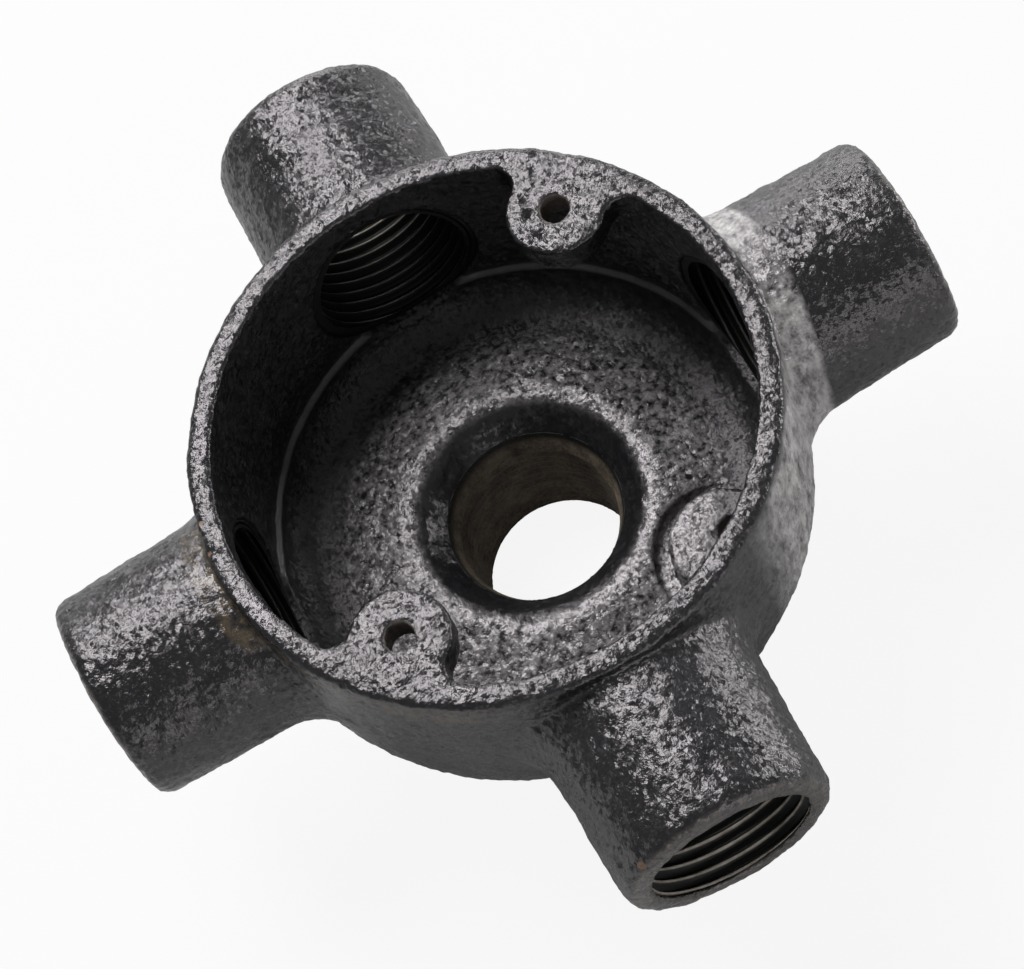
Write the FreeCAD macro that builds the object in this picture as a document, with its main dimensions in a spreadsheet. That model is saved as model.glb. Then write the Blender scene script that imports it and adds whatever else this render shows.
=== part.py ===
"""Circular conduit box, cast in malleable iron: four side spouts at right angles, a fifth
spout at the back, two drilled cover lugs and an earth boss.  Millimetres, open mouth up."""
import FreeCAD, Part
import math
import os
import Sketcher

from FreeCAD import Placement, Rotation, Vector

# Driving sizes: alias, value, meaning.  Depths are measured down from the rim,
# radii from the box's own axis, and spout sizes from the spout's axis.
SIZES = [
    ("rim_height", 14.0, "rim above the plane of the four spout axes"),
    ("base_height", 33.0, "plane of the spout axes above the end of the back spout"),
    ("rim_radius", 32.5, "outside of the body at the rim"),
    ("parting_radius", 33.0, "outside of the body at the mould's parting plane"),
    ("heel_radius", 32.4, "outside of the body produced to its underside"),
    ("underside_depth", 31.0, "underside of the body"),
    ("heel_rounding", 8.0, "round between the body's side and underside"),
    ("rim_bevel", 0.6, "bevel on the outer edge of the rim"),
    ("chamber_radius", 29.85, "inside of the wall at the rim"),
    ("chamber_band", 5.3, "depth of the straight band under the rim, past the lugs"),
    ("chamber_foot_radius", 28.95, "inside of the wall at the ledge"),
    ("ledge_depth", 22.0, "ledge where the wall meets the bowl"),
    ("ledge_width", 0.5, "width of the ledge"),
    ("gutter_depth", 27.5, "lowest part of the bowl"),
    ("bowl_rounding", 4.8, "round between the bowl's side and its gutter"),
    ("mound_foot_radius", 22.6, "foot of the mound round the back outlet"),
    ("mound_foot_rounding", 5.0, "hollow round at the mound's foot"),
    ("mound_ridge_radius", 13.6, "ridge of the mound, before rounding"),
    ("mound_ridge_depth", 25.0, "ridge of the mound, before rounding"),
    ("mound_ridge_rounding", 3.6, "round over the mound's ridge"),
    ("bell_radius", 10.3, "foot of the bell mouth above the back thread"),
    ("bell_depth", 28.3, "foot of the bell mouth above the back thread"),
    ("thread_radius", 9.2, "crests of the conduit thread in every spout"),
    ("bell_run_in", 3.0, "length of the cone from the bell mouth to the thread"),
    ("thread_chamfer", 0.4, "chamfer where a conduit enters a spout"),
    ("spout_reach", 50.8, "end of a side spout from the box's axis"),
    ("spout_end_radius", 12.15, "outside of a spout at its end"),
    ("spout_root_radius", 12.45, "outside of a spout where its flare begins"),
    ("spout_bevel", 1.4, "worn-round outer edge of a spout's end, made as two bevels"),
    ("back_rounding", 4.0, "hollow round between the back spout and the underside"),
    ("flare_rounding", 8.0, "hollow round between a spout's side and the body"),
    ("flare_drop", 0.7, "deepening of the flare as a share of its widening"),
    ("lug_angle", 43.0, "direction of the cover lugs from the +X spout, degrees"),
    ("lug_hole_circle", 50.8, "circle through the two cover screw holes"),
    ("lug_hole_radius", 1.65, "tapping size of a cover screw hole"),
    ("lug_half_width", 5.6, "half width of a cover lug"),
    ("lug_nose", 5.3, "lug's nose beyond the middle of its hole"),
    ("lug_nose_rounding", 5.4, "corner round of the lug's nose"),
    ("lug_root_rounding", 2.4, "hollow round between a lug and the wall"),
    ("lug_thickness", 4.0, "thickness of a cover lug"),
    ("lug_root_depth", 1.3, "how far a lug's root runs into the wall"),
    ("boss_angle", -45.0, "direction of the earth boss from the +X spout, degrees"),
    ("boss_reach", 23.5, "middle of the earth boss from the box's axis"),
    ("boss_radius", 6.3, "radius of the earth boss at its top"),
    ("boss_depth", 23.0, "top of the earth boss"),
    ("boss_bevel", 0.4, "bevel on the top edge of the earth boss"),
    ("boss_root", 1.0, "how far the earth boss runs into the metal under the gutter"),
    ("moat_radius", 8.5, "recess cut in the mound round the earth boss"),
    ("moat_outer_radius", 24.0, "outer limit of that recess, inside the bowl's round"),
    ("earth_hole_angle", -42.0, "direction of the earth screw hole, degrees"),
    ("earth_hole_reach", 24.2, "earth screw hole from the box's axis"),
    ("earth_hole_radius", 1.65, "tapping size of the earth screw hole"),
    ("earth_hole_length", 5.5, "depth of the earth screw hole"),
    ("mouth_bevel", 0.35, "bevel on the mouth's inner edge and the lugs' outlines"),
]


class Size:
    """A length that knows its value and the spreadsheet expression behind it."""

    def __init__(self, value, text):
        self.value = float(value)
        self.text = text

    @staticmethod
    def of(other):
        return other if isinstance(other, Size) else Size(other, repr(other))

    def __add__(self, other):
        other = Size.of(other)
        return Size(self.value + other.value, f"({self.text} + {other.text})")

    def __sub__(self, other):
        other = Size.of(other)
        return Size(self.value - other.value, f"({self.text} - {other.text})")

    def __mul__(self, other):
        other = Size.of(other)
        return Size(self.value * other.value, f"({self.text} * {other.text})")

    def __truediv__(self, other):
        other = Size.of(other)
        return Size(self.value / other.value, f"({self.text} / {other.text})")

    def __neg__(self):
        return Size(-self.value, f"(0 - {self.text})")

    def root(self):
        return Size(math.sqrt(self.value), f"sqrt({self.text})")


ZERO = Size(0, "0")
SPOUTS = 4
LUGS = 2
FLARE_SHARES = (0.6, 0.88, 1.0)
BEVEL_SHARE = 0.3
FLAT = 1e-3


def make_sheet(doc):
    """Write the driving sizes to a spreadsheet and return them by name."""
    sheet = doc.addObject("Spreadsheet::Sheet", "sizes")
    named = {}
    for row, (alias, value, meaning) in enumerate(SIZES, start=1):
        sheet.set(f"A{row}", alias)
        sheet.set(f"B{row}", str(value))
        sheet.set(f"C{row}", meaning)
        sheet.setAlias(f"B{row}", alias)
        named[alias] = Size(value, f"sizes.{alias}")
    doc.recompute()
    return named


def origin_part(body, role):
    """The body's own origin plane or axis with this role."""
    return next(part for part in body.Origin.OriginFeatures if part.Role == role)


def new_sketch(body, name, plane, height=None, angle=None):
    """A sketch on an origin plane, moved along its normal and turned about it."""
    sketch = body.newObject("Sketcher::SketchObject", name)
    sketch.AttachmentSupport = [(origin_part(body, plane), "")]
    sketch.MapMode = "FlatFace"
    lift = height.value if height else 0.0
    turn = angle.value if angle else 0.0
    sketch.AttachmentOffset = Placement(Vector(0, 0, lift), Rotation(Vector(0, 0, 1), turn))
    if height:
        sketch.setExpression("AttachmentOffset.Base.z", height.text)
    if angle:
        sketch.setExpression("AttachmentOffset.Rotation.Angle", angle.text)
    return sketch


def constrain(sketch, kind, *where):
    """Add a constraint; a trailing Size gives its value and binds it to the sheet."""
    size = where[-1]
    if not isinstance(size, Size):
        return sketch.addConstraint(Sketcher.Constraint(kind, *where))
    index = sketch.addConstraint(Sketcher.Constraint(kind, *where[:-1], size.value))
    sketch.setExpression(f"Constraints[{index}]", size.text)
    return index


ORIGIN = (-1, 1)
START, END, CENTRE = 1, 2, 3


def place_point(sketch, geometry, end, across, up):
    """Hold a point at a place given by two sizes."""
    for kind, axis, size in (("DistanceX", -2, across), ("DistanceY", -1, up)):
        if size.value == 0.0:
            constrain(sketch, "PointOnObject", geometry, end, axis)
        else:
            constrain(sketch, kind, *ORIGIN, geometry, end, size)


def rounded_corner(before, corner, after, radius):
    """Centre, start and end of the arc that rounds one corner of an outline."""
    inward = (before - corner).normalize()
    outward = (after - corner).normalize()
    half_angle = inward.getAngle(outward) / 2
    middle = (inward + outward).normalize()
    reach = radius / math.sin(half_angle)
    centre = corner + middle * reach
    start = corner + inward * (centre - corner).dot(inward)
    end = corner + outward * (centre - corner).dot(outward)
    return centre, start, end


def draw_outline(sketch, corners):
    """A closed outline of straight sides through corners (across, up, rounding or None)."""
    points = [Vector(across.value, up.value, 0) for across, up, _ in corners]
    count = len(corners)
    arcs = {}
    for index, (_, _, rounding) in enumerate(corners):
        if rounding:
            before, after = points[index - 1], points[(index + 1) % count]
            arcs[index] = rounded_corner(before, points[index], after, rounding.value)
    sides = []
    for index in range(count):
        following = (index + 1) % count
        start = arcs[index][2] if index in arcs else points[index]
        end = arcs[following][1] if following in arcs else points[following]
        sides.append(sketch.addGeometry(Part.LineSegment(start, end)))
    for index, (across, up, rounding) in enumerate(corners):
        arriving, leaving = sides[index - 1], sides[index]
        if rounding:
            hold_rounded_corner(sketch, arriving, leaving, points[index], arcs[index], corners[index])
        else:
            constrain(sketch, "Coincident", arriving, END, leaving, START)
            place_point(sketch, leaving, START, across, up)


def hold_rounded_corner(sketch, arriving, leaving, corner, arc, sizes):
    """Round a corner with a tangent arc while the sharp corner keeps its place."""
    across, up, rounding = sizes
    centre, start, end = arc
    middle = centre + (corner - centre).normalize() * rounding.value
    round_edge = sketch.addGeometry(Part.Arc(start, middle, end))
    turns_left = (start - corner).cross(end - corner).z < 0
    first, last = (START, END) if turns_left else (END, START)
    apex = sketch.addGeometry(Part.Point(corner), True)
    constrain(sketch, "Tangent", arriving, END, round_edge, first)
    constrain(sketch, "Tangent", round_edge, last, leaving, START)
    constrain(sketch, "PointOnObject", apex, START, arriving)
    constrain(sketch, "PointOnObject", apex, START, leaving)
    constrain(sketch, "Radius", round_edge, rounding)
    place_point(sketch, apex, START, across, up)


def draw_circle(sketch, across, up, radius):
    """A circle held by its centre and radius."""
    centre = Vector(across.value, up.value, 0)
    circle = sketch.addGeometry(Part.Circle(centre, Vector(0, 0, 1), radius.value))
    place_point(sketch, circle, CENTRE, across, up)
    constrain(sketch, "Radius", circle, radius)


def turned(body, kind, name, sketch, axis):
    """A full turn of a sketch about one of its own axes, added or cut away."""
    feature = body.newObject(kind, name)
    feature.Profile = sketch
    feature.ReferenceAxis = (sketch, [axis])
    feature.Angle = 360
    return feature


def repeated(body, name, features, count):
    """Copies of features spaced evenly about the box's axis."""
    pattern = body.newObject("PartDesign::PolarPattern", name)
    pattern.Originals = features
    pattern.Axis = (origin_part(body, "Z_Axis"), [""])
    pattern.Angle = 360
    pattern.Occurrences = count
    body.Tip = pattern
    return pattern


def spout_edge(radius, end, inward, bevel):
    """Corners of a spout's outer edge as (radius, place along the spout), end face last."""
    short = bevel * BEVEL_SHARE
    return [
        (radius, end + inward * bevel),
        (radius - short, end + inward * short),
        (radius - bevel, end),
    ]


def add_drum(body, s):
    """The drafted drum with its rounded heel and the back spout, as one turned solid."""
    sketch = new_sketch(body, "drum_profile", "XZ_Plane")
    rim, bevel = s["rim_height"], s["rim_bevel"]
    underside = rim - s["underside_depth"]
    edge = spout_edge(s["spout_end_radius"], -s["base_height"], Size(1, "1"), s["spout_bevel"])
    draw_outline(sketch, [
        (ZERO, rim, None),
        (s["rim_radius"] - bevel, rim, None),
        (s["rim_radius"], rim - bevel, None),
        (s["parting_radius"], ZERO, None),
        (s["heel_radius"], underside, s["heel_rounding"]),
        (s["spout_root_radius"], underside, s["back_rounding"]),
        *[(radius, place, None) for radius, place in edge],
        (ZERO, -s["base_height"], None),
    ])
    return turned(body, "PartDesign::Revolution", "drum", sketch, "V_Axis")


def flare_start(s):
    """Distance from the box's axis at which a spout begins to flare into the body."""
    to_centre = s["parting_radius"] + s["flare_rounding"]
    aside = s["spout_root_radius"] + s["flare_rounding"]
    return (to_centre * to_centre - aside * aside).root()


def add_side_spout(body, s):
    """The +X spout beyond its flare, turned about its own axis."""
    sketch = new_sketch(body, "spout_profile", "XZ_Plane")
    edge = spout_edge(s["spout_end_radius"], s["spout_reach"], Size(-1, "-1"), s["spout_bevel"])
    draw_outline(sketch, [
        (flare_start(s), ZERO, None),
        (flare_start(s), s["spout_root_radius"], None),
        *[(place, radius, None) for radius, place in edge],
        (s["spout_reach"], ZERO, None),
    ])
    return turned(body, "PartDesign::Revolution", "side_spout", sketch, "H_Axis")


def draw_ellipse(sketch, half_width, half_height, up):
    """A level ellipse whose middle lies on the sketch's upright axis."""
    centre = Vector(0, up.value, 0)
    side = centre + Vector(half_width.value, 0, 0)
    top = centre + Vector(0, half_height.value, 0)
    ellipse = sketch.addGeometry(Part.Ellipse(side, top, centre))
    sketch.exposeInternalGeometry(ellipse)
    long_axis, short_axis = ellipse + 1, ellipse + 2
    constrain(sketch, "Horizontal", long_axis)
    constrain(sketch, "Distance", long_axis, half_width * 2)
    constrain(sketch, "Distance", short_axis, half_height * 2)
    place_point(sketch, ellipse, CENTRE, ZERO, up)


def add_flare(body, s):
    """The +X spout's root: level with the spout on top, it widens to meet the body."""
    rounding = s["flare_rounding"]
    start = flare_start(s)
    depth = start * rounding / (s["parting_radius"] + rounding)
    first = new_sketch(body, "flare_section_0", "YZ_Plane", start)
    draw_circle(first, ZERO, ZERO, s["spout_root_radius"])
    sections = []
    for number, share in enumerate(FLARE_SHARES, start=1):
        inward = depth * share
        widening = rounding - (rounding * rounding - inward * inward).root()
        drop = widening * s["flare_drop"] / 2
        sketch = new_sketch(body, f"flare_section_{number}", "YZ_Plane", start - inward)
        radius = s["spout_root_radius"]
        draw_ellipse(sketch, radius + widening, radius + drop, -drop)
        sections.append(sketch)
    flare = body.newObject("PartDesign::AdditiveLoft", "flare")
    flare.Profile = first
    flare.Sections = sections
    flare.Ruled = False
    return flare


def cut_chamber(body, s):
    """The chamber, its ledge and bowl, the mound, the bell mouth and the back bore."""
    rim = s["rim_height"]
    sketch = new_sketch(body, "chamber_profile", "XZ_Plane")
    bowl_radius = s["chamber_foot_radius"] - s["ledge_width"]
    outlet = -s["base_height"]
    draw_outline(sketch, [
        (ZERO, rim, None),
        (ZERO, outlet, None),
        (s["thread_radius"] + s["thread_chamfer"], outlet, None),
        (s["thread_radius"], outlet + s["thread_chamfer"], None),
        (s["thread_radius"], rim - s["bell_depth"] - s["bell_run_in"], None),
        (s["bell_radius"], rim - s["bell_depth"], None),
        (s["mound_ridge_radius"], rim - s["mound_ridge_depth"], s["mound_ridge_rounding"]),
        (s["mound_foot_radius"], rim - s["gutter_depth"], s["mound_foot_rounding"]),
        (bowl_radius, rim - s["gutter_depth"], s["bowl_rounding"]),
        (bowl_radius, rim - s["ledge_depth"], None),
        (s["chamber_foot_radius"], rim - s["ledge_depth"], None),
        (s["chamber_radius"], rim - s["chamber_band"], None),
        (s["chamber_radius"], rim, None),
    ])
    return turned(body, "PartDesign::Groove", "chamber", sketch, "V_Axis")


def cut_side_bore(body, s):
    """The +X spout's bore, from its chamfered mouth to above the mound's foot."""
    sketch = new_sketch(body, "bore_profile", "XZ_Plane")
    inside = s["mound_foot_radius"]
    draw_outline(sketch, [
        (inside, ZERO, None),
        (inside, s["thread_radius"], None),
        (s["spout_reach"] - s["thread_chamfer"], s["thread_radius"], None),
        (s["spout_reach"], s["thread_radius"] + s["thread_chamfer"], None),
        (s["spout_reach"], ZERO, None),
    ])
    return turned(body, "PartDesign::Groove", "side_bore", sketch, "H_Axis")


def add_lug(body, s):
    """One cover lug, flush with the rim, its root rounds running smoothly into the wall."""
    sketch = new_sketch(body, "lug_outline", "XY_Plane", s["rim_height"], s["lug_angle"])
    half, wall = s["lug_half_width"], s["chamber_radius"]
    nose = s["lug_hole_circle"] / 2 - s["lug_nose"]
    reach = wall - s["lug_root_rounding"]
    aside = half + s["lug_root_rounding"]
    along = (reach * reach - aside * aside).root()
    touch_along, touch_aside = along * wall / reach, aside * wall / reach
    corner = touch_along + (touch_aside - half) * aside / along
    depth = s["lug_root_depth"]
    end_along = touch_along - aside * depth / reach
    end_aside = touch_aside + along * depth / reach
    outward = (wall + depth) / wall
    draw_outline(sketch, [
        (nose, -half, s["lug_nose_rounding"]),
        (corner, -half, s["lug_root_rounding"]),
        (end_along, -end_aside, None),
        (end_along * outward, -end_aside * outward, None),
        (wall + depth, ZERO, None),
        (end_along * outward, end_aside * outward, None),
        (end_along, end_aside, None),
        (corner, half, s["lug_root_rounding"]),
        (nose, half, s["lug_nose_rounding"]),
    ])
    lug = body.newObject("PartDesign::Pad", "cover_lug")
    lug.Profile = sketch
    lug.Reversed = True
    lug.setExpression("Length", s["lug_thickness"].text)
    return lug


def cut_lug_hole(body, s):
    """The tapped hole for one cover screw, right through its lug."""
    sketch = new_sketch(body, "lug_hole_circle", "XY_Plane", s["rim_height"], s["lug_angle"])
    draw_circle(sketch, s["lug_hole_circle"] / 2, ZERO, s["lug_hole_radius"])
    hole = body.newObject("PartDesign::Pocket", "lug_hole")
    hole.Profile = sketch
    hole.setExpression("Length", s["lug_thickness"].text)
    return hole


def cut_moat(body, s):
    """The recess that cuts the mound back round the earth boss, from the ledge down."""
    top = s["rim_height"] - s["ledge_depth"]
    sketch = new_sketch(body, "moat_outline", "XY_Plane", top, s["boss_angle"])
    reach, near, far = s["boss_reach"], s["moat_radius"], s["moat_outer_radius"]
    along = (reach * reach + far * far - near * near) / (reach * 2)
    aside = (far * far - along * along).root()
    low = Vector(along.value, -aside.value, 0)
    high = Vector(along.value, aside.value, 0)
    inner = sketch.addGeometry(Part.Arc(high, Vector((reach - near).value, 0, 0), low))
    outer = sketch.addGeometry(Part.Arc(low, Vector(far.value, 0, 0), high))
    constrain(sketch, "Coincident", inner, START, outer, END)
    constrain(sketch, "Coincident", inner, END, outer, START)
    place_point(sketch, inner, CENTRE, reach, ZERO)
    place_point(sketch, outer, CENTRE, ZERO, ZERO)
    constrain(sketch, "Radius", inner, near)
    constrain(sketch, "Radius", outer, far)
    moat = body.newObject("PartDesign::Pocket", "moat")
    moat.Profile = sketch
    moat.setExpression("Length", (s["gutter_depth"] - s["ledge_depth"]).text)
    return moat


def add_boss(body, s):
    """The earth boss, standing in its recess and running into the bowl's side."""
    top = s["rim_height"] - s["boss_depth"]
    sketch = new_sketch(body, "boss_outline", "XY_Plane", top, s["boss_angle"])
    draw_circle(sketch, s["boss_reach"], ZERO, s["boss_radius"])
    boss = body.newObject("PartDesign::Pad", "earth_boss")
    boss.Profile = sketch
    boss.Reversed = True
    boss.setExpression("Length", (s["gutter_depth"] - s["boss_depth"] + s["boss_root"]).text)
    return boss


def cut_earth_hole(body, s):
    """The blind tapped hole in the earth boss."""
    top = s["rim_height"] - s["boss_depth"]
    sketch = new_sketch(body, "earth_hole_circle", "XY_Plane", top, s["earth_hole_angle"])
    draw_circle(sketch, s["earth_hole_reach"], ZERO, s["earth_hole_radius"])
    hole = body.newObject("PartDesign::Pocket", "earth_hole")
    hole.Profile = sketch
    hole.setExpression("Length", s["earth_hole_length"].text)
    return hole


def bevel_edges(body, name, size, wanted):
    """Bevel the edges of the body so far that the test picks out."""
    before = body.Tip
    picked = [f"Edge{number}" for number, edge in enumerate(before.Shape.Edges, start=1) if wanted(edge)]
    bevel = body.newObject("PartDesign::Chamfer", name)
    bevel.Base = (before, picked)
    bevel.setExpression("Size", size.text)
    return bevel


def in_plane(edge, height):
    """Whether a whole edge lies level at this height."""
    box = edge.BoundBox
    return abs(box.ZMin - height.value) < FLAT and abs(box.ZMax - height.value) < FLAT


def reach_of(edge):
    """The farthest that an edge goes from the box's axis, among its ends and middle."""
    middle = (edge.FirstParameter + edge.LastParameter) / 2
    places = [vertex.Point for vertex in edge.Vertexes] + [edge.valueAt(middle)]
    return max(math.hypot(place.x, place.y) for place in places)


def bevel_mouth(body, s):
    """The inner edge of the rim, along the wall and round both lugs."""
    def wanted(edge):
        is_hole = edge.Curve.TypeId == "Part::GeomCircle" and edge.Closed
        inside = reach_of(edge) < s["chamber_radius"].value + FLAT
        return in_plane(edge, s["rim_height"]) and inside and not is_hole
    return bevel_edges(body, "mouth_bevel", s["mouth_bevel"], wanted)


def bevel_boss(body, s):
    """The earth boss's top edge, where it stands free of the bowl."""
    def wanted(edge):
        if edge.Curve.TypeId != "Part::GeomCircle":
            return False
        level = in_plane(edge, s["rim_height"] - s["boss_depth"])
        return level and abs(edge.Curve.Radius - s["boss_radius"].value) < FLAT
    return bevel_edges(body, "boss_bevel", s["boss_bevel"], wanted)


def check_document(doc):
    """Stop if any feature failed or the casting isn't one valid solid."""
    for item in doc.Objects:
        if "Invalid" in item.State or "Error" in item.State:
            raise RuntimeError(f"{item.Name}: {item.State}")
        if hasattr(item, "Shape") and (item.Shape.isNull() or not item.Shape.isValid()):
            raise RuntimeError(f"{item.Name} has no valid shape")


def build_casting(doc, s):
    """The whole casting: outside first, then the chamber and bores, then bosses and lugs."""
    body = doc.addObject("PartDesign::Body", "box_casting")
    body.Label = "box_casting"
    add_drum(body, s)
    repeated(body, "side_spouts", [add_side_spout(body, s), add_flare(body, s)], SPOUTS)
    cut_chamber(body, s)
    repeated(body, "side_bores", [cut_side_bore(body, s)], SPOUTS)
    cut_moat(body, s)
    add_boss(body, s)
    cut_earth_hole(body, s)
    repeated(body, "cover_lugs", [add_lug(body, s)], LUGS)
    repeated(body, "lug_holes", [cut_lug_hole(body, s)], LUGS)
    doc.recompute()
    bevel_boss(body, s)
    doc.recompute()
    bevel_mouth(body, s)
    body.Placement.Base.z = s["base_height"].value
    body.setExpression("Placement.Base.z", s["base_height"].text)
    doc.recompute()
    return body


def main():
    os.makedirs("parts", exist_ok=True)
    doc = FreeCAD.newDocument("conduit_box")
    casting = build_casting(doc, make_sheet(doc))
    check_document(doc)
    if len(casting.Shape.Solids) != 1:
        raise RuntimeError("the casting is in more than one piece")
    casting.Shape.exportStep(f"parts/{casting.Label}.step")


main()
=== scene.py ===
"""A round cast-iron conduit box in worn black enamel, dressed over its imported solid."""
import math

import bmesh
import bpy
import numpy as np
from mathutils import Matrix, Vector, noise


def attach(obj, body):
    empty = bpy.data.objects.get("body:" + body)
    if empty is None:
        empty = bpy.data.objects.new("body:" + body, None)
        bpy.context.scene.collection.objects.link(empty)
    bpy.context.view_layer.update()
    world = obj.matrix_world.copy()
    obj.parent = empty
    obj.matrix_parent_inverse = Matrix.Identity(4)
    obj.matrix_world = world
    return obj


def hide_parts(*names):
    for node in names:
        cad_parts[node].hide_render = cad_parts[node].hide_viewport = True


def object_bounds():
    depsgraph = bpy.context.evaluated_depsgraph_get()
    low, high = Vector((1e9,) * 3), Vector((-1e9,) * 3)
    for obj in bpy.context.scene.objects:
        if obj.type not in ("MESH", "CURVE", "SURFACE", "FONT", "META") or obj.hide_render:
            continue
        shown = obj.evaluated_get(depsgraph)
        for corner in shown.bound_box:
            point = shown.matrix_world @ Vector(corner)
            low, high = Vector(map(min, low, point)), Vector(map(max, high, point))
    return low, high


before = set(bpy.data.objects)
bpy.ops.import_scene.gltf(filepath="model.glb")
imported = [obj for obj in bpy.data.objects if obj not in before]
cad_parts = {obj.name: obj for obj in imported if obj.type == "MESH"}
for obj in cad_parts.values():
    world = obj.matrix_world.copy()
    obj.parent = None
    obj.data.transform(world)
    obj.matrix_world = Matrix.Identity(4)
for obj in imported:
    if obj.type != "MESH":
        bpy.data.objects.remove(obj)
CAD_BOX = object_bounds()

MM = 0.001

# Sizes of the casting in millimetres, in the row frame: +Z up, spouts along X and Y.
AXIS_HEIGHT = 33.0
BAND_FOOT_HEIGHT = 41.7
LEDGE_HEIGHT = 25.0
LEDGE_RADIUS = 28.7
CHAMBER_TOP_RADIUS = 29.85
CHAMBER_FOOT_RADIUS = 28.95
SPOUT_REACH = 50.8
SPOUT_TURNS = {"east": 0.0, "north": 90.0, "west": 180.0, "south": 270.0}
BORE_START = 21.5
BELL_HEIGHT = 18.7
BELL_RADIUS = 10.3
BELL_RUN_IN = 3.0

# Threads: radii at the crests, at the roots and of the bores opened out to hold them.
THREAD_CREST = 9.2
THREAD_ROOT = 10.0
BACK_THREAD_ROOT = 9.42
THREAD_BED = 10.2
SLEEVE_RADIUS = 10.35
PITCH = 1.5
LIP = 0.6
SLEEVE_SETBACK = 0.35
STEPS_PER_TURN = 72

# One tooth of the thread: how far along the pitch, and how deep between crest and root.
TOOTH = (
    (0.0, 0.14), (0.08, 0.0), (0.16, 0.14), (0.36, 0.58),
    (0.54, 0.95), (0.64, 1.0), (0.74, 0.95), (0.88, 0.58),
)

# The skin: size of its facets, and how far it may rise and fall.
FINE_VOXEL = 0.26
TRIANGLE_LIMIT = 194000
RIM_ALLOWANCE = 0.14
BODY_RADIUS = 31.6
GROOVE_HEIGHT = 45.75
GROOVE_DEPTH = 0.24
GROOVE_WIDTH = 0.28
PARTING_RISE = 0.20
PARTING_WIDTH = 0.35
LUMP_SHIFT = Vector((7, 3, 5))
CRUMB_SHIFT = Vector((2, 9, 4))

# Tapped holes: reach from the box's axis, direction in degrees, foot and top.
HOLES = ((25.4, 43.0, 43.2, 46.7), (25.4, 223.0, 43.2, 46.7), (24.2, -42.0, 18.3, 23.7))
HOLE_RADIUS = 1.7

# Rust specks: x, y, z and radius.
RUST = (
    (-31.6, 8.4, 46.8, 0.45), (-31.5, 10.3, 46.7, 0.35), (-31.4, 5.9, 46.9, 0.3),
    (-31.9, 2.4, 46.3, 0.4), (-8.7, -49.9, 40.8, 0.5), (-12.6, -18.0, 46.9, 0.3),
    (-13.2, -19.3, 46.9, 0.35), (-14.0, -20.8, 46.9, 0.3), (12.0, -49.6, 34.5, 0.35),
)

# Pits in the skin: x, y, z, radius and depth.
PITS = (
    (16.4, 20.1, 46.9, 1.0, 0.35), (15.8, 18.2, 46.9, 0.9, 0.45), (15.9, 15.4, 46.8, 0.9, 0.4),
    (21.9, 17.7, 46.9, 0.7, 0.3), (-20.9, 5.7, 20.3, 1.1, 0.6), (10.3, 12.0, 21.5, 0.8, 0.4),
    (-10.6, -48.0, 38.6, 0.8, 0.4), (-10.0, 45.1, 39.7, 0.9, 0.4), (5.3, 45.8, 43.9, 0.8, 0.3),
    (-45.0, -6.5, 43.2, 0.8, 0.35), (44.0, 7.0, 43.0, 0.7, 0.3), (30.0, -10.0, 43.0, 0.9, 0.3),
)

# Colours
WHITE = (1.0, 1.0, 1.0, 1.0)
FLOOR_GREY = (0.55, 0.55, 0.55, 1.0)
ENAMEL_BLACK = (0.006, 0.006, 0.007, 1.0)
WORN_BLACK = (0.026, 0.025, 0.026, 1.0)
COOL_GLINT = (1.0, 0.945, 0.98, 1.0)
# Painted highlight on the mound's ridge.
MOUND_PAINTED_HIGHLIGHT = (0.20, 0.19, 0.195, 1.0)
# Painted sheen on the east flank, standing in for a reflection.
EAST_PAINTED_SHEEN = (0.42, 0.405, 0.40, 1.0)
# Painted highlight along the ledge's edge.
LEDGE_PAINTED_HIGHLIGHT = (0.10, 0.098, 0.095, 1.0)
UNDER_RIM_BROWN = (0.075, 0.058, 0.036, 1.0)
SPOUT_END_BROWN = (0.085, 0.076, 0.067, 1.0)
TAPPED_GREY = (0.10, 0.088, 0.075, 1.0)
RUST_BROWN = (0.20, 0.115, 0.06, 1.0)
CREST_BRIGHT = (0.66, 0.61, 0.55, 1.0)
CREST_DULL = (0.40, 0.35, 0.29, 1.0)
# Painted shade in the threads' roots and towards the chamber.
PAINTED_SHADE_BLACK = (0.010, 0.009, 0.008, 1.0)
BORE_DARK = (0.016, 0.012, 0.010, 1.0)
BORE_BROWN = (0.25, 0.205, 0.15, 1.0)
BELL_BLACK = (0.007, 0.007, 0.007, 1.0)

# The stage, in millimetres and watts. A lamp has a place, a point it looks at, a size and a power.
FLOOR_HALF_SIDE = 3000.0
FLOOR_DROP = 0.05
TENT_STRENGTH = 0.13
GLOSS_SHARE = 0.08
LAMPS = {
    "overhead": ((-80, 290, 485), (0, 0, 30), (310, 350), 4.0),
    "rear": ((200, 620, 120), (0, 0, 20), (500, 260), 1.8),
    "side": ((520, 60, 70), (30, 0, 0), (300, 120), 1.4),
    "front": ((120, -600, 150), (0, 0, 20), (620, 220), 1.0),
}
CAMERA_PLACE = (-1.430, -149.549, 336.23)
CAMERA_DEGREES = (22.933, 12.287, -28.083)
CAMERA_LENS = 108.02
CAMERA_SHIFT = (-0.02272, -0.00806)


# Mesh helpers

def apply_modifiers(piece):
    """Turn a piece's modifiers into its mesh."""
    with bpy.context.temp_override(object=piece, active_object=piece, selected_objects=[piece]):
        for modifier in list(piece.modifiers):
            bpy.ops.object.modifier_apply(modifier=modifier.name)


def read_vectors(items, key):
    """One row of three numbers for each vertex."""
    flat = np.zeros(len(items) * 3, np.float32)
    items.foreach_get(key, flat)
    return flat.reshape(-1, 3).astype(float)


def place_inside(mesh, places):
    """Set a mesh's vertices, none of them outside the solid's own box."""
    inside = np.clip(places, *CAD_BOX).astype(np.float32)
    mesh.vertices.foreach_set("co", inside.ravel())
    mesh.update()


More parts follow.
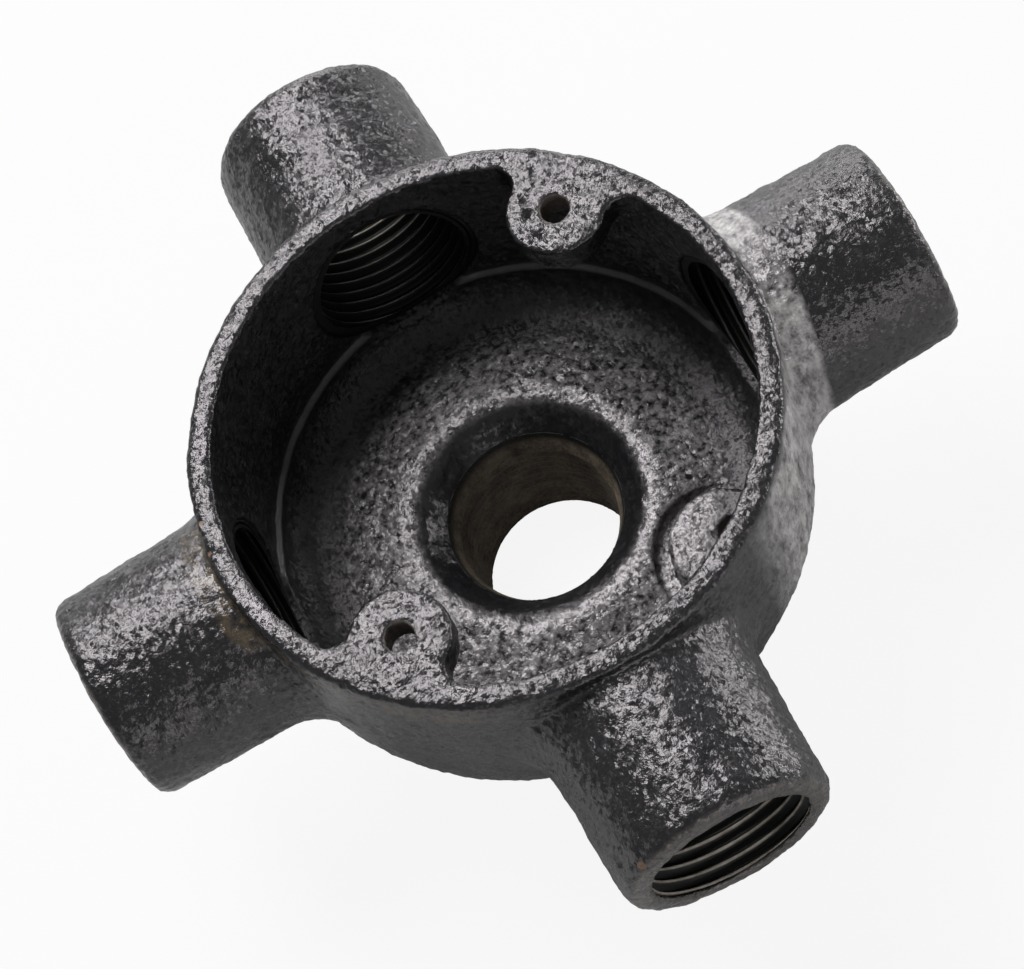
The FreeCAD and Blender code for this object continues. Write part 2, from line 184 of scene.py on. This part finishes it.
def new_piece(name, bm):
    """A mesh object made from a bmesh in millimetres, linked to the scene in metres."""
    bmesh.ops.scale(bm, vec=(MM, MM, MM), verts=bm.verts)
    mesh = bpy.data.meshes.new(name)
    bm.to_mesh(mesh)
    bm.free()
    piece = bpy.data.objects.new(name, mesh)
    bpy.context.scene.collection.objects.link(piece)
    return piece


def spout_turn(direction):
    """From a bore drawn along +Z to the spout that looks this way."""
    lift = Matrix.Translation((0, 0, AXIS_HEIGHT))
    about = Matrix.Rotation(math.radians(SPOUT_TURNS[direction]), 4, "Z")
    return lift @ about @ Matrix.Rotation(math.radians(90), 4, "Y")


# The casting

def make_bore_cutter():
    """Five plugs that open the bores out to the bed of the cut threads."""
    bm = bmesh.new()
    plugs = [(spout_turn(name), BORE_START, SPOUT_REACH - LIP) for name in SPOUT_TURNS]
    plugs.append((Matrix.Identity(4), LIP, BELL_HEIGHT + 0.2))
    for turn, start, end in plugs:
        place = turn @ Matrix.Translation((0, 0, (start + end) / 2))
        bmesh.ops.create_cone(
            bm, cap_ends=True, segments=96, radius1=THREAD_BED, radius2=THREAD_BED,
            depth=end - start, matrix=place)
    return new_piece("bore_cutter", bm)


def behind_thread(places):
    """Which points lie on a bore's hidden bed, behind its thread."""
    x, y, z = places.T
    level = z - AXIS_HEIGHT

    def in_spout(along, aside):
        reach = np.abs(along)
        bed = np.hypot(aside, level) < THREAD_BED + 0.35
        return (reach > BORE_START) & (reach < SPOUT_REACH - LIP) & bed

    in_back = (np.hypot(x, y) < THREAD_BED + 0.35) & (z < BELL_HEIGHT)
    return in_back | in_spout(x, y) | in_spout(y, x)


def sand_relief(p):
    """How far the sand mould left the skin above or below its nominal face, in millimetres."""
    fine = 0.10 * noise.noise(p * 1.05) + 0.06 * noise.noise(p * 1.9 + CRUMB_SHIFT)
    across = math.hypot(p.x, p.y)
    if abs(across - LEDGE_RADIUS) < 1.4:
        fine *= min(1.0, abs(p.z - LEDGE_HEIGHT) / 2.0)
    return 0.10 * noise.noise(p * 0.16) + 0.12 * noise.noise(p * 0.42 + LUMP_SHIFT) + fine


def marks_relief(p):
    """Pits, the groove under the rim and the mould's parting line, in millimetres."""
    relief = 0.0
    for x, y, z, radius, depth in PITS:
        share = ((p.x - x) ** 2 + (p.y - y) ** 2 + (p.z - z) ** 2) / radius ** 2
        if share < 1.0:
            relief -= depth * (1.0 - share) ** 2
    across = math.hypot(p.x, p.y)
    if across > BODY_RADIUS:
        broken = 0.5 + 0.8 * noise.noise(p * 0.12 + LUMP_SHIFT)
        below_groove = p.z - GROOVE_HEIGHT
        above_parting = p.z - AXIS_HEIGHT
        if abs(below_groove) < 1.0 and across < 34.0:
            relief -= GROOVE_DEPTH * broken * math.exp(-(below_groove / GROOVE_WIDTH) ** 2)
        if abs(above_parting) < 1.2:
            relief += PARTING_RISE * broken * math.exp(-(above_parting / PARTING_WIDTH) ** 2)
    return relief


def roughen(piece):
    """Give the skin the unevenness that its sand mould left, inside the solid's box."""
    mesh = piece.data
    places = read_vectors(mesh.vertices, "co")
    normals = read_vectors(mesh.vertices, "normal")
    hidden = behind_thread(places / MM)
    relief = np.zeros(len(places))
    for index in np.flatnonzero(~hidden):
        p = Vector(places[index]) / MM
        relief[index] = sand_relief(p) + marks_relief(p)
    room = np.where(normals[:, 2] > 0.5, (CAD_BOX[1][2] - places[:, 2]) / MM, 1.0)
    relief -= RIM_ALLOWANCE * np.clip(1.0 - room / 0.4, 0.0, 1.0)
    place_inside(mesh, places + normals * relief[:, None] * MM)


def make_casting():
    """The casting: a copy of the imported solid, its bores opened and its skin remeshed fine."""
    bm = bmesh.new()
    bm.from_mesh(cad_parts["box_casting"].data)
    bmesh.ops.remove_doubles(bm, verts=bm.verts, dist=2e-6)
    bmesh.ops.scale(bm, vec=(1 / MM, 1 / MM, 1 / MM), verts=bm.verts)
    casting = new_piece("casting", bm)
    cutter = make_bore_cutter()
    cut = casting.modifiers.new("bores", "BOOLEAN")
    cut.operation = "DIFFERENCE"
    cut.solver = "EXACT"
    cut.object = cutter
    skin = casting.modifiers.new("skin", "REMESH")
    skin.mode = "VOXEL"
    skin.voxel_size = FINE_VOXEL * MM
    soften = casting.modifiers.new("soften", "SMOOTH")
    soften.factor = 0.5
    soften.iterations = 1
    apply_modifiers(casting)
    bpy.data.objects.remove(cutter)
    roughen(casting)
    thin = casting.modifiers.new("thin", "DECIMATE")
    casting.data.calc_loop_triangles()
    thin.ratio = min(1.0, TRIANGLE_LIMIT / len(casting.data.loop_triangles))
    apply_modifiers(casting)
    place_inside(casting.data, read_vectors(casting.data.vertices, "co"))
    casting.data.materials.append(enamel())
    return casting


# Cut threads

def scale_about_axis(vertex, factor):
    """Move a vertex straight out from the bore's axis, or in towards it."""
    vertex.co.x *= factor
    vertex.co.y *= factor


def make_sleeve(start, end, root):
    """A closed sleeve whose inside is a cut thread: a toothed line swept along its helix."""
    bm = bmesh.new()
    teeth = range(math.ceil((end - start) / PITCH) + 3)
    line = [
        bm.verts.new((
            THREAD_CREST + (root - THREAD_CREST) * depth, 0,
            start - 2 * PITCH + tooth * PITCH + share * PITCH))
        for tooth in teeth for share, depth in TOOTH]
    edges = [bm.edges.new(pair) for pair in zip(line, line[1:])]
    bmesh.ops.spin(
        bm, geom=line + edges, cent=(0, 0, 0), axis=(0, 0, 1), angle=math.tau,
        steps=STEPS_PER_TURN, dvec=(0, 0, PITCH / STEPS_PER_TURN))
    bmesh.ops.remove_doubles(bm, verts=bm.verts, dist=0.001)
    for height, outward in ((start, -1), (end, 1)):
        everything = bm.verts[:] + bm.edges[:] + bm.faces[:]
        bmesh.ops.bisect_plane(
            bm, geom=everything, dist=1e-5, plane_co=(0, 0, height), plane_no=(0, 0, outward),
            clear_outer=True)
    rims = [edge for edge in bm.edges if len(edge.link_faces) == 1]
    flange = bmesh.ops.extrude_edge_only(bm, edges=rims)["geom"]
    for vertex in flange:
        if isinstance(vertex, bmesh.types.BMVert):
            scale_about_axis(vertex, SLEEVE_RADIUS / math.hypot(vertex.co.x, vertex.co.y))
    bmesh.ops.bridge_loops(bm, edges=[e for e in flange if isinstance(e, bmesh.types.BMEdge)])
    bmesh.ops.recalc_face_normals(bm, faces=bm.faces)
    wear_thread(bm)
    return bm


def wear_thread(bm):
    """Burr and dull the crests a little, and leave the hidden back of the sleeve alone."""
    for vertex in bm.verts:
        p = vertex.co
        radius = math.hypot(p.x, p.y)
        if radius < SLEEVE_RADIUS - 0.05:
            push = 0.05 * noise.noise(p * 0.9) + 0.03 * noise.noise(p * 2.3)
            p.x += p.x / radius * push
            p.y += p.y / radius * push


def chamber_wall(height):
    """Radius of the chamber's wall at a height, which stays that of its foot below the ledge."""
    share = (height - LEDGE_HEIGHT) / (BAND_FOOT_HEIGHT - LEDGE_HEIGHT)
    widening = CHAMBER_TOP_RADIUS - CHAMBER_FOOT_RADIUS
    return CHAMBER_FOOT_RADIUS + widening * max(0.0, min(1.0, share))


def make_spout_thread(direction, material):
    """A side spout's thread, cut off where it breaks through the chamber's round wall."""
    bm = make_sleeve(BORE_START + 4.5, SPOUT_REACH - LIP + 0.1, THREAD_ROOT)
    for vertex in bm.verts:
        wall = chamber_wall(AXIS_HEIGHT - vertex.co.x) + SLEEVE_SETBACK
        vertex.co.z = max(vertex.co.z, math.sqrt(wall ** 2 - vertex.co.y ** 2))
    bmesh.ops.transform(bm, matrix=spout_turn(direction), verts=bm.verts)
    thread = new_piece("thread_" + direction, bm)
    thread.data.materials.append(material)
    return thread


def make_back_thread():
    """The back outlet's thread, which the bell mouth's cone cuts away towards the top."""
    bm = make_sleeve(LIP - 0.1, BELL_HEIGHT, BACK_THREAD_ROOT)
    for vertex in bm.verts:
        radius = math.hypot(vertex.co.x, vertex.co.y)
        run = (vertex.co.z - BELL_HEIGHT + BELL_RUN_IN) / BELL_RUN_IN
        cone = THREAD_CREST + (BELL_RADIUS - THREAD_CREST) * max(0.0, run)
        if run > 0 and radius < cone:
            scale_about_axis(vertex, cone / radius)
    thread = new_piece("thread_back", bm)
    thread.data.materials.append(worn_bore())
    return thread


# Finishes

class Wire:
    """A shader socket that turns Python sums into Math nodes."""

    def __init__(self, finish, socket):
        self.finish = finish
        self.socket = socket

    def math(self, operation, *others):
        """A Math node with this wire first."""
        inputs = dict(enumerate((self, *others)))
        return self.finish.node("ShaderNodeMath", {"operation": operation}, inputs)

    def __add__(self, other):
        return self.math("ADD", other)

    __radd__ = __add__

    def __mul__(self, other):
        return self.math("MULTIPLY", other)

    __rmul__ = __mul__

    def __sub__(self, other):
        return self.math("SUBTRACT", other)

    def __rsub__(self, other):
        return (self * -1.0) + other

    def __truediv__(self, other):
        return self.math("DIVIDE", other)

    def __pow__(self, other):
        return self.math("POWER", other)

    def clamped(self, low, high):
        """0 below low, 1 above high, straight between."""
        inputs = {"Value": self, "From Min": low, "From Max": high}
        return self.finish.node("ShaderNodeMapRange", {"clamp": True}, inputs)


class Finish:
    """The nodes of one material, or of the world."""

    def __init__(self, owner, output="ShaderNodeOutputMaterial"):
        owner.use_nodes = True
        self.owner = owner
        self.output = output
        self.tree = owner.node_tree
        self.tree.nodes.clear()

    def node(self, kind, settings=None, inputs=None, output=0):
        """Add a node: its settings first, then a value or a wire for each named socket."""
        node = self.tree.nodes.new(kind)
        for key, value in (settings or {}).items():
            setattr(node, key, value)
        for key, value in (inputs or {}).items():
            if isinstance(value, Wire):
                self.tree.links.new(value.socket, node.inputs[key])
            else:
                node.inputs[key].default_value = value
        return Wire(self, node.outputs[output]) if node.outputs else None

    def vector_math(self, operation, inputs, output=0):
        return self.node("ShaderNodeVectorMath", {"operation": operation}, inputs, output)

    def millimetres(self):
        """Object coordinates in millimetres, whole and as x, y and z."""
        metres = self.node("ShaderNodeTexCoord", output="Object")
        place = self.vector_math("SCALE", {0: metres, "Scale": 1 / MM})
        return place, *(self.node("ShaderNodeSeparateXYZ", None, {0: place}, n) for n in range(3))

    def stretched(self, place, factors):
        """Coordinates for a pattern that is drawn out along an axis."""
        return self.vector_math("MULTIPLY", {0: place, 1: factors})

    def noise(self, place, scale, detail=2.0, rough=0.5):
        """A cloudy pattern, with a scale per millimetre."""
        return self.node("ShaderNodeTexNoise", None, {
            "Vector": place, "Scale": scale, "Detail": detail, "Roughness": rough})

    def mix(self, share, first, second):
        """The first colour where the share is 0, the second where it is 1."""
        return self.node("ShaderNodeMix", {"data_type": "RGBA"},
                         {0: share, 6: first, 7: second}, output=2)

    def bump(self, height, distance, strength=1.0, under=None):
        """A normal raised by a height, over the plain one or another."""
        inputs = {"Height": height, "Distance": distance * MM, "Strength": strength}
        if under:
            inputs["Normal"] = under
        return self.node("ShaderNodeBump", None, inputs)

    def tilted(self, place, scale, tilt):
        """The face's normal, tipped at random from grain to grain."""
        cell = self.node("ShaderNodeTexVoronoi", {"feature": "SMOOTH_F1"}, {
            "Vector": place, "Scale": scale, "Smoothness": 0.6}, output="Color")
        centred = self.vector_math("SUBTRACT", {0: cell, 1: (0.5, 0.5, 0.5)})
        tip = self.vector_math("SCALE", {0: centred, "Scale": tilt})
        face = self.node("ShaderNodeNewGeometry", output="Normal")
        return self.vector_math("NORMALIZE", {0: self.vector_math("ADD", {0: face, 1: tip})})

    def zone(self, *limits):
        """1 where each value lies in its limits (value, low, high, soft), falling to 0 outside."""
        shares = [
            value.clamped(low - soft, low) * (1.0 - value.clamped(high, high + soft))
            for value, low, high, soft in limits]
        return math.prod(shares[1:], start=shares[0])

    def spots(self, place, centres):
        """1 at any of these points (x, y, z, radius), ragged at the edge, 0 away from them."""
        ragged = self.noise(place, 1.6, 3.0, 0.7)
        total = 0.0
        for x, y, z, radius in centres:
            away = self.vector_math("DISTANCE", {0: place, 1: (x, y, z)}, output="Value")
            total = (away / radius * -1.0 + 0.6 + ragged).clamped(0.0, 0.3) + total
        return total.clamped(0.0, 1.0)

    def tapped_holes(self, x, y, z):
        """1 inside the tapped holes of the lugs and the boss."""
        total = 0.0
        for reach, degrees, foot, top in HOLES:
            aside = x - reach * math.cos(math.radians(degrees))
            ahead = y - reach * math.sin(math.radians(degrees))
            radius = (aside * aside + ahead * ahead) ** 0.5
            within = 1.0 - radius.clamped(HOLE_RADIUS, HOLE_RADIUS + 0.25)
            total = within * self.zone((z, foot, top, 0.15)) + total
        return total

    def whiteness(self, eye, gloss, glass):
        """Share of plain white for rays to the eye, off gloss and through glass."""
        total = 0.0
        for ray, share in (("Camera", eye), ("Glossy", gloss), ("Transmission", glass)):
            total = self.node("ShaderNodeLightPath", output="Is " + ray + " Ray") * share + total
        return total.clamped(0.0, 1.0)

    def surface(self, shader):
        """Send a shader to the output, and hand back the material or the world."""
        self.node(self.output, None, {"Surface": shader})
        return self.owner


def enamel():
    """Black enamel over sand-cast iron: glints on the grains, duller on the flanks."""
    f = Finish(bpy.data.materials.new("black_enamel"))
    place, x, y, z = f.millimetres()
    radius = (x * x + y * y) ** 0.5

    # Grain of the skin, calmer along the ledge's edge and in the bell mouth
    calm = 1.0 - f.zone((radius, 28.0, 29.6, 0.3), (z, 24.2, 25.6, 0.3)) * 0.8
    calm = calm * (1.0 - f.zone((radius, 0.0, 13.0, 1.5), (z, 16.0, 26.0, 0.5)) * 0.6)
    lumps = f.noise(place, 1.15, 3.0, 0.68)
    patch = f.noise(place, 0.11, 3.0, 0.6)
    normal = f.bump(lumps, 0.20, calm, f.tilted(place, 2.2, calm * 0.42))

    # Wear on the lumps everywhere, and a painted highlight on the mound's ridge, set in its lumps
    worn = lumps.clamped(0.5, 0.72) * patch.clamped(0.3, 0.7)
    colour = f.mix(worn, ENAMEL_BLACK, WORN_BLACK)
    mound_highlight = f.zone((radius, 14.3, 21.5, 1.5), (z, 17.0, 26.0, 0.5))
    colour = f.mix(mound_highlight * lumps.clamped(0.38, 0.62), colour, MOUND_PAINTED_HIGHLIGHT)

    # A painted sheen on the east flank, standing in for the floor's reflection, and a brown band
    # under the rim on the west
    streaks = f.noise(f.stretched(place, (1.0, 1.0, 0.35)), 0.8, 4.0, 0.7)
    east_sheen = f.zone((radius, 32.3, 36.0, 0.7), (x, 22.0, 40.0, 5.0), (z, 18.0, 44.5, 1.5))
    colour = f.mix(east_sheen * streaks.clamped(0.30, 0.62), colour, EAST_PAINTED_SHEEN)
    west = 1.0 - x.clamped(-18.0, -12.0)
    under_rim = f.zone((radius, 32.2, 35.0, 0.4), (z, 42.8, 45.8, 0.6)) * west
    colour = f.mix(under_rim * streaks.clamped(0.4, 0.6), colour, UNDER_RIM_BROWN)

    # Bare spout ends, holes and rust, and a painted highlight along the ledge's edge
    ends = x.math("ABSOLUTE").math("MAXIMUM", y.math("ABSOLUTE")).clamped(50.0, 50.5)
    colour = f.mix(ends * lumps.clamped(0.3, 0.6), colour, SPOUT_END_BROWN)
    # Painted highlight: a lighter line along the ledge's edge.
    ledge_highlight = f.zone((radius, 28.3, 29.1, 0.15), (z, 24.6, 25.2, 0.2))
    colour = f.mix(ledge_highlight, colour, LEDGE_PAINTED_HIGHLIGHT)
    bare = f.tapped_holes(x, y, z)
    colour = f.mix(bare, colour, TAPPED_GREY)
    rust = f.spots(place, RUST)
    colour = f.mix(rust * 0.8, colour, RUST_BROWN)

    gutter = f.zone((radius, 22.8, 28.3, 1.5), (z, 17.0, 26.0, 0.5))
    dull = gutter * 0.20 + (bare + rust).clamped(0.0, 1.0) * 0.3
    rough = 0.25 + patch.clamped(0.3, 0.7) * 0.10 + dull
    return f.surface(f.node("ShaderNodeBsdfPrincipled", None, {
        "Base Color": colour, "Roughness": rough, "Normal": normal, "Specular IOR Level": 0.8,
        "Specular Tint": COOL_GLINT}))


def cut_iron(name, axis, chamber_shade_share):
    """Cut iron, pale on the crests, with painted shade: black in the thread's roots and towards
    the chamber, where the bore lies in shade.
    """
    f = Finish(bpy.data.materials.new(name))
    place, x, y, z = f.millimetres()
    aside, along = (y, x) if axis == "X" else (x, y)
    level = z - AXIS_HEIGHT
    depth = ((aside * aside + level * level) ** 0.5).clamped(THREAD_CREST, THREAD_ROOT)
    blotch = f.noise(place, 0.5, 3.0, 0.6)
    grit = f.noise(place, 4.0, 2.0, 0.6)
    crest = f.mix(blotch.clamped(0.35, 0.65), CREST_BRIGHT, CREST_DULL)
    # Painted shade: the thread turns black towards the chamber and in its roots.
    paint = (1.0 - along.math("ABSOLUTE").clamped(36.0, 44.0)) * chamber_shade_share
    shade = (depth.clamped(0.02, 0.28) + paint).clamped(0.0, 1.0)
    return f.surface(f.node("ShaderNodeBsdfPrincipled", None, {
        "Base Color": f.mix(shade, crest, PAINTED_SHADE_BLACK), "Metallic": 0.3,
        "Roughness": 0.36 + grit * 0.25, "Normal": f.bump(grit, 0.04)}))


def worn_bore():
    """The back outlet's dull brown bore, its shallow thread half filled."""
    f = Finish(bpy.data.materials.new("worn_bore"))
    place, x, y, z = f.millimetres()
    blotch = f.noise(place, 0.35, 4.0, 0.65)
    grit = f.noise(place, 2.4, 3.0, 0.65)
    stain = blotch.clamped(0.35, 0.65) * 0.55 + grit.clamped(0.35, 0.65) * 0.45
    colour = f.mix(stain, BORE_DARK, BORE_BROWN)
    colour = f.mix(z.clamped(17.3, 18.2), colour, BELL_BLACK)
    return f.surface(f.node("ShaderNodeBsdfPrincipled", None, {
        "Base Color": colour, "Metallic": 0.2, "Roughness": 0.42 + grit * 0.2,
        "Normal": f.bump(grit, 0.12)}))


# Stage, lamps and camera

def make_floor():
    """A pale floor that stays white to the eye and keeps a soft shadow."""
    bm = bmesh.new()
    bmesh.ops.create_grid(bm, x_segments=1, y_segments=1, size=FLOOR_HALF_SIDE)
    bmesh.ops.translate(bm, vec=(0, 0, -FLOOR_DROP), verts=bm.verts)
    floor = new_piece("floor", bm)
    f = Finish(bpy.data.materials.new("pale_floor"))
    paint = f.node("ShaderNodeBsdfDiffuse", None, {"Color": FLOOR_GREY})
    glow = f.node("ShaderNodeEmission", None, {"Color": WHITE, "Strength": 1.0})
    seen = f.whiteness(0.9, GLOSS_SHARE, 0.9)
    floor.data.materials.append(f.surface(
        f.node("ShaderNodeMixShader", None, {0: seen, 1: paint, 2: glow})))


def make_world():
    """An even, dim tent of light, white to the eye."""
    f = Finish(bpy.data.worlds.new("tent"), "ShaderNodeOutputWorld")
    dim = f.node("ShaderNodeBackground", None, {"Color": WHITE, "Strength": TENT_STRENGTH})
    white = f.node("ShaderNodeBackground", None, {"Color": WHITE, "Strength": 1.0})
    seen = f.whiteness(1.0, GLOSS_SHARE, 1.0)
    bpy.context.scene.world = f.surface(
        f.node("ShaderNodeMixShader", None, {0: seen, 1: dim, 2: white}))


def make_lamp(name, place, aim, size, power):
    """A softbox at a place, turned towards a point."""
    lamp = bpy.data.lights.new(name, "AREA")
    lamp.shape = "RECTANGLE"
    lamp.size, lamp.size_y = size[0] * MM, size[1] * MM
    lamp.energy = power
    holder = bpy.data.objects.new(name, lamp)
    holder.location = Vector(place) * MM
    holder.rotation_euler = (Vector(aim) - Vector(place)).to_track_quat("-Z", "Y").to_euler()
    bpy.context.scene.collection.objects.link(holder)


def make_camera():
    """A long lens above the south side, its top leaning to the north-east."""
    camera = bpy.data.cameras.new("camera")
    camera.sensor_width = 36.0
    camera.lens = CAMERA_LENS
    camera.shift_x, camera.shift_y = CAMERA_SHIFT
    holder = bpy.data.objects.new("camera", camera)
    holder.location = Vector(CAMERA_PLACE) * MM
    holder.rotation_euler = [math.radians(angle) for angle in CAMERA_DEGREES]
    bpy.context.scene.collection.objects.link(holder)
    bpy.context.scene.camera = holder


def clear_starting_objects():
    """Take out the cube, light and camera that an empty file starts with."""
    for name in ("Cube", "Light", "Camera"):
        spare = bpy.data.objects.get(name)
        if spare:
            bpy.data.objects.remove(spare)


def main():
    casting = make_casting()
    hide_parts("box_casting")
    bare_iron = {
        "X": cut_iron("cut_iron_east_west", "X", 0.9),
        "Y": cut_iron("cut_iron_north_south", "Y", 0.85),
    }
    threads = [
        make_spout_thread(name, bare_iron[axis]) for name, axis in zip(SPOUT_TURNS, "XYXY")]
    for piece in (casting, *threads, make_back_thread()):
        piece.data.shade_smooth()
        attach(piece, "root")
    make_floor()
    make_world()
    for name, settings in LAMPS.items():
        make_lamp(name, *settings)
    make_camera()
    clear_starting_objects()
    bpy.context.scene.view_settings.view_transform = "Standard"


main()
